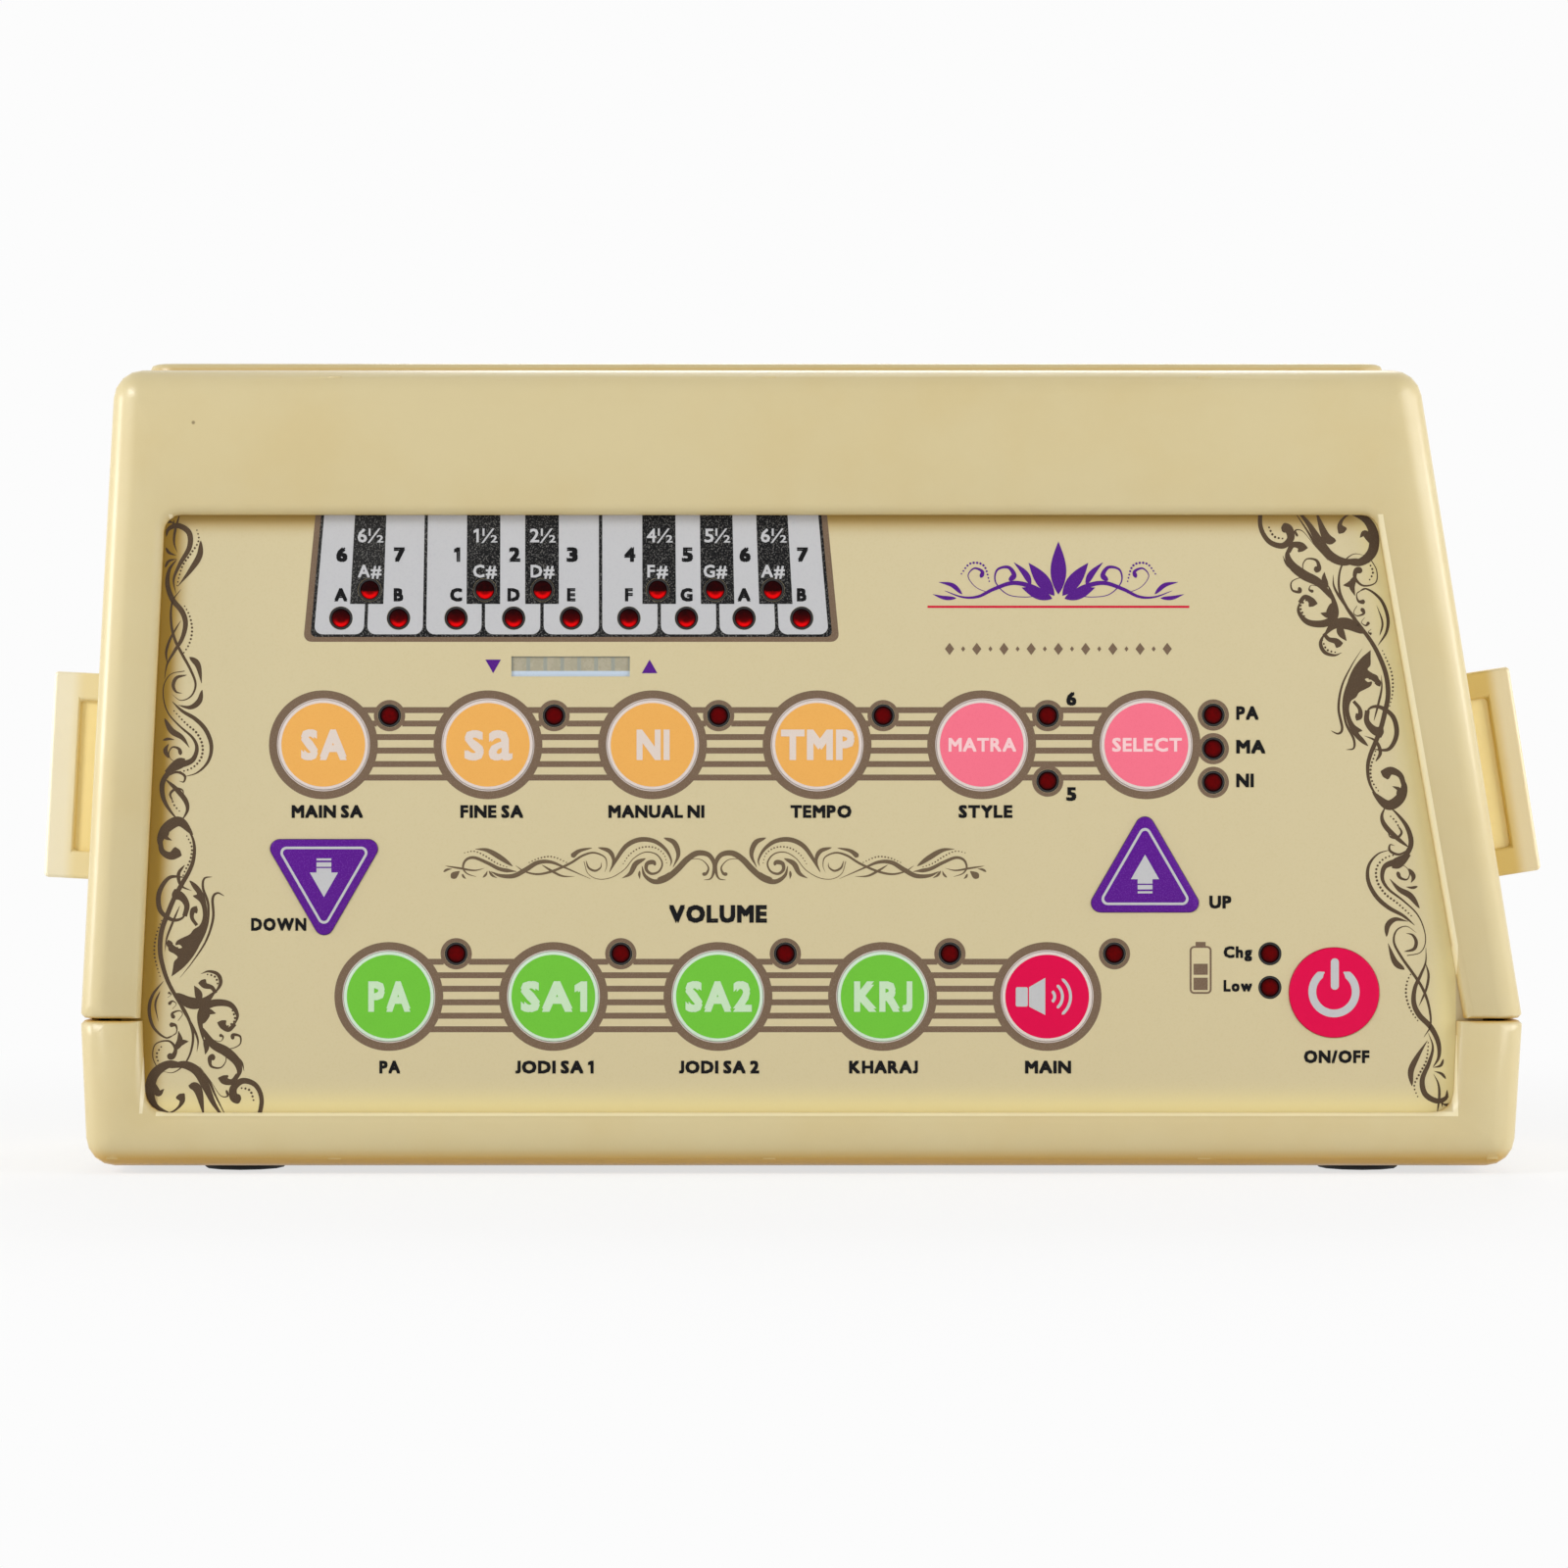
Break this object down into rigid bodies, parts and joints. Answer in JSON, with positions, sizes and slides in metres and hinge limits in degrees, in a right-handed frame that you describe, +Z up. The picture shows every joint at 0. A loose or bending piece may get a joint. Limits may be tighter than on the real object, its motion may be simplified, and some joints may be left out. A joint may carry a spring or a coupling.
{
  "type": "electronic tanpura",
  "caption": "Table-top drone box: two-part moulded case, printed keypad front with sprung keys and lamps, loudspeaker grille in the top, strap lug on each side.",
  "frame": {"origin": "on the surface that the feet stand on, under the middle of the overall box", "axes": "+Z up; +X to the right of someone who faces the keypad, along the long side; the keypad faces -Y"},
  "size_m": [0.2371, 0.078, 0.1258],
  "materials": {
    "case": "satin moulded plastic, fine texture",
    "panel_plate": "matt sheet plastic",
    "printed_overlay": "printed matt film",
    "circuit_board": "solder resist",
    "display": "clear-faced segments",
    "ribbon": "flat cable",
    "rubber": "matt",
    "black_plastic": "satin",
    "cone_paper": "pressed paper pulp",
    "magnet": "plated",
    "aluminium": "extruded",
    "lead_jacket": "soft jacket",
    "cell_sleeve": "shrink sleeve",
    "steel": "zinc plated",
    "key_orange": "printed satin",
    "key_pink": "printed satin",
    "key_green": "printed satin",
    "key_crimson": "printed satin",
    "key_purple": "printed satin"
  },
  "bodies": {
    "case": {"upper_shell": "case", "lower_shell": "case", "left_strap_lug": "case", "right_strap_lug": "case", "front_panel": "panel_plate", "rear_panel": "panel_plate", "panel_overlay": "printed_overlay", "keypad_board": "circuit_board", "main_board": "circuit_board", "bar_display": "display", "keypad_ribbon": "ribbon", "speaker_gasket": "rubber", "speaker_frame": "black_plastic", "speaker_cone": "cone_paper", "speaker_magnet": "magnet", "heat_sink": "aluminium", "power_jack": "black_plastic", "line_jack": "black_plastic", "speaker_lead": "lead_jacket", "cell_lead": "lead_jacket", "cell_holder": "black_plastic", "cell_1": "cell_sleeve", "cell_2": "cell_sleeve", "foot_front_left": "rubber", "case_screw_front_left": "steel", "foot_rear_left": "rubber", "case_screw_rear_left": "steel", "foot_front_right": "rubber", "case_screw_front_right": "steel", "foot_rear_right": "rubber", "case_screw_rear_right": "steel", "board_screw_1": "steel", "speaker_screw_1": "steel", "board_screw_2": "steel", "speaker_screw_2": "steel", "board_screw_3": "steel", "speaker_screw_3": "steel", "board_screw_4": "steel", "speaker_screw_4": "steel", "main_board_screw_1": "steel", "main_board_screw_2": "steel", "left_lug_screw_lower": "steel", "left_lug_screw_upper": "steel", "right_lug_screw_lower": "steel", "right_lug_screw_upper": "steel"},
    "main_sa_key": {"key_main_sa": "key_orange"},
    "fine_sa_key": {"key_fine_sa": "key_orange"},
    "manual_ni_key": {"key_manual_ni": "key_orange"},
    "tempo_key": {"key_tempo": "key_orange"},
    "matra_key": {"key_matra": "key_pink"},
    "select_key": {"key_select": "key_pink"},
    "pa_key": {"key_pa": "key_green"},
    "jodi_sa_1_key": {"key_jodi_sa_1": "key_green"},
    "jodi_sa_2_key": {"key_jodi_sa_2": "key_green"},
    "kharaj_key": {"key_kharaj": "key_green"},
    "main_volume_key": {"key_main_volume": "key_crimson"},
    "power_key": {"key_power": "key_crimson"},
    "down_key": {"key_down": "key_purple"},
    "up_key": {"key_up": "key_purple"}
  },
  "joints": [
    {"name": "main_sa_press", "type": "slide", "parent": "case", "child": "main_sa_key", "axis": [0, 1, 0], "range_m": [0, 0.0004], "stiffness_N_per_m": 2500, "springref_m": -0.0002},
    {"name": "fine_sa_press", "type": "slide", "parent": "case", "child": "fine_sa_key", "axis": [0, 1, 0], "range_m": [0, 0.0004], "stiffness_N_per_m": 2500, "springref_m": -0.0002},
    {"name": "manual_ni_press", "type": "slide", "parent": "case", "child": "manual_ni_key", "axis": [0, 1, 0], "range_m": [0, 0.0004], "stiffness_N_per_m": 2500, "springref_m": -0.0002},
    {"name": "tempo_press", "type": "slide", "parent": "case", "child": "tempo_key", "axis": [0, 1, 0], "range_m": [0, 0.0004], "stiffness_N_per_m": 2500, "springref_m": -0.0002},
    {"name": "matra_press", "type": "slide", "parent": "case", "child": "matra_key", "axis": [0, 1, 0], "range_m": [0, 0.0004], "stiffness_N_per_m": 2500, "springref_m": -0.0002},
    {"name": "select_press", "type": "slide", "parent": "case", "child": "select_key", "axis": [0, 1, 0], "range_m": [0, 0.0004], "stiffness_N_per_m": 2500, "springref_m": -0.0002},
    {"name": "pa_press", "type": "slide", "parent": "case", "child": "pa_key", "axis": [0, 1, 0], "range_m": [0, 0.0004], "stiffness_N_per_m": 2500, "springref_m": -0.0002},
    {"name": "jodi_sa_1_press", "type": "slide", "parent": "case", "child": "jodi_sa_1_key", "axis": [0, 1, 0], "range_m": [0, 0.0004], "stiffness_N_per_m": 2500, "springref_m": -0.0002},
    {"name": "jodi_sa_2_press", "type": "slide", "parent": "case", "child": "jodi_sa_2_key", "axis": [0, 1, 0], "range_m": [0, 0.0004], "stiffness_N_per_m": 2500, "springref_m": -0.0002},
    {"name": "kharaj_press", "type": "slide", "parent": "case", "child": "kharaj_key", "axis": [0, 1, 0], "range_m": [0, 0.0004], "stiffness_N_per_m": 2500, "springref_m": -0.0002},
    {"name": "main_volume_press", "type": "slide", "parent": "case", "child": "main_volume_key", "axis": [0, 1, 0], "range_m": [0, 0.0004], "stiffness_N_per_m": 2500, "springref_m": -0.0002},
    {"name": "power_press", "type": "slide", "parent": "case", "child": "power_key", "axis": [0, 1, 0], "range_m": [0, 0.0004], "stiffness_N_per_m": 2500, "springref_m": -0.0002},
    {"name": "down_press", "type": "slide", "parent": "case", "child": "down_key", "axis": [0, 1, 0], "range_m": [0, 0.0004], "stiffness_N_per_m": 2500, "springref_m": -0.0002},
    {"name": "up_press", "type": "slide", "parent": "case", "child": "up_key", "axis": [0, 1, 0], "range_m": [0, 0.0004], "stiffness_N_per_m": 2500, "springref_m": -0.0002}
  ]
}
